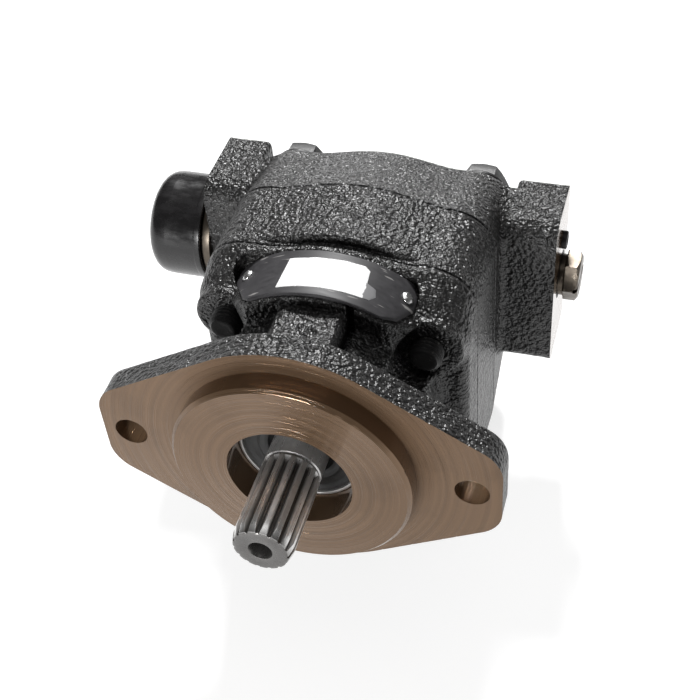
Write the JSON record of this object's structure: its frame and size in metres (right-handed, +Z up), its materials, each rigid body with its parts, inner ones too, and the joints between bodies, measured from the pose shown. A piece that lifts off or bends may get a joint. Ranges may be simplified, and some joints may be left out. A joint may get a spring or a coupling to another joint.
{
  "type": "hydraulic gear pump",
  "caption": "Flange-mounted cast-iron hydraulic gear pump with splined drive shaft, tie-bolted sections and capped side ports.",
  "frame": {"origin": "centre of the mounting flange's front face, on the drive shaft axis", "axes": "+Y back through the pump from the flange (the shaft points along -Y); +Z up, towards the nameplate; +X towards the plugged outlet port"},
  "size_m": [0.209, 0.2139, 0.1643],
  "materials": {
    "cast_iron_black": "satin black paint over coarse sand-cast iron; machined faces bare",
    "ground_steel": "ground and polished",
    "bearing_bronze": "plain bearing bronze",
    "black_rubber": "moulded nitrile",
    "seal_steel": "pressed steel",
    "black_bolt_steel": "black oxide and paint",
    "plate_grey": "dark grey printed aluminium sheet",
    "rivet_steel": "bright plated",
    "label_white": "white vinyl, blank",
    "zinc_steel": "zinc plated",
    "black_plastic": "semi-gloss moulded polyethylene"
  },
  "bodies": {
    "housing": {"front_cover": "cast_iron_black", "gear_housing": "cast_iron_black", "rear_cover": "cast_iron_black", "front_drive_bushing": "bearing_bronze", "front_driven_bushing": "bearing_bronze", "rear_drive_bushing": "bearing_bronze", "rear_driven_bushing": "bearing_bronze", "front_thrust_plate": "bearing_bronze", "rear_thrust_plate": "bearing_bronze", "front_plate_seal": "black_rubber", "rear_plate_seal": "black_rubber", "front_housing_seal": "black_rubber", "rear_housing_seal": "black_rubber", "shaft_seal_case": "seal_steel", "shaft_seal_lip": "black_rubber", "shaft_seal_spring": "seal_steel", "dowel_pins": "ground_steel", "tie_bolts": "black_bolt_steel", "tie_bolt_washers": "black_bolt_steel", "nameplate": "plate_grey", "nameplate_rivets": "rivet_steel", "label": "label_white", "inlet_fitting": "zinc_steel", "inlet_oring": "black_rubber", "inlet_cap": "black_plastic", "outlet_plug": "zinc_steel", "outlet_oring": "black_rubber", "gauge_plug": "black_bolt_steel"},
    "drive_shaft": {"drive_gear_shaft": "ground_steel"},
    "driven_shaft": {"driven_gear_shaft": "ground_steel"}
  },
  "joints": [
    {"name": "drive_spin", "type": "hinge", "parent": "housing", "child": "drive_shaft", "pos_m": [0, 0, 0], "axis": [0, 1, 0], "continuous": true},
    {"name": "driven_spin", "type": "hinge", "parent": "housing", "child": "driven_shaft", "pos_m": [0, 0, -0.047], "axis": [0, 1, 0], "continuous": true}
  ],
  "couplings": [
    {"joint": "driven_spin", "follows": "drive_spin", "ratio": -1}
  ]
}
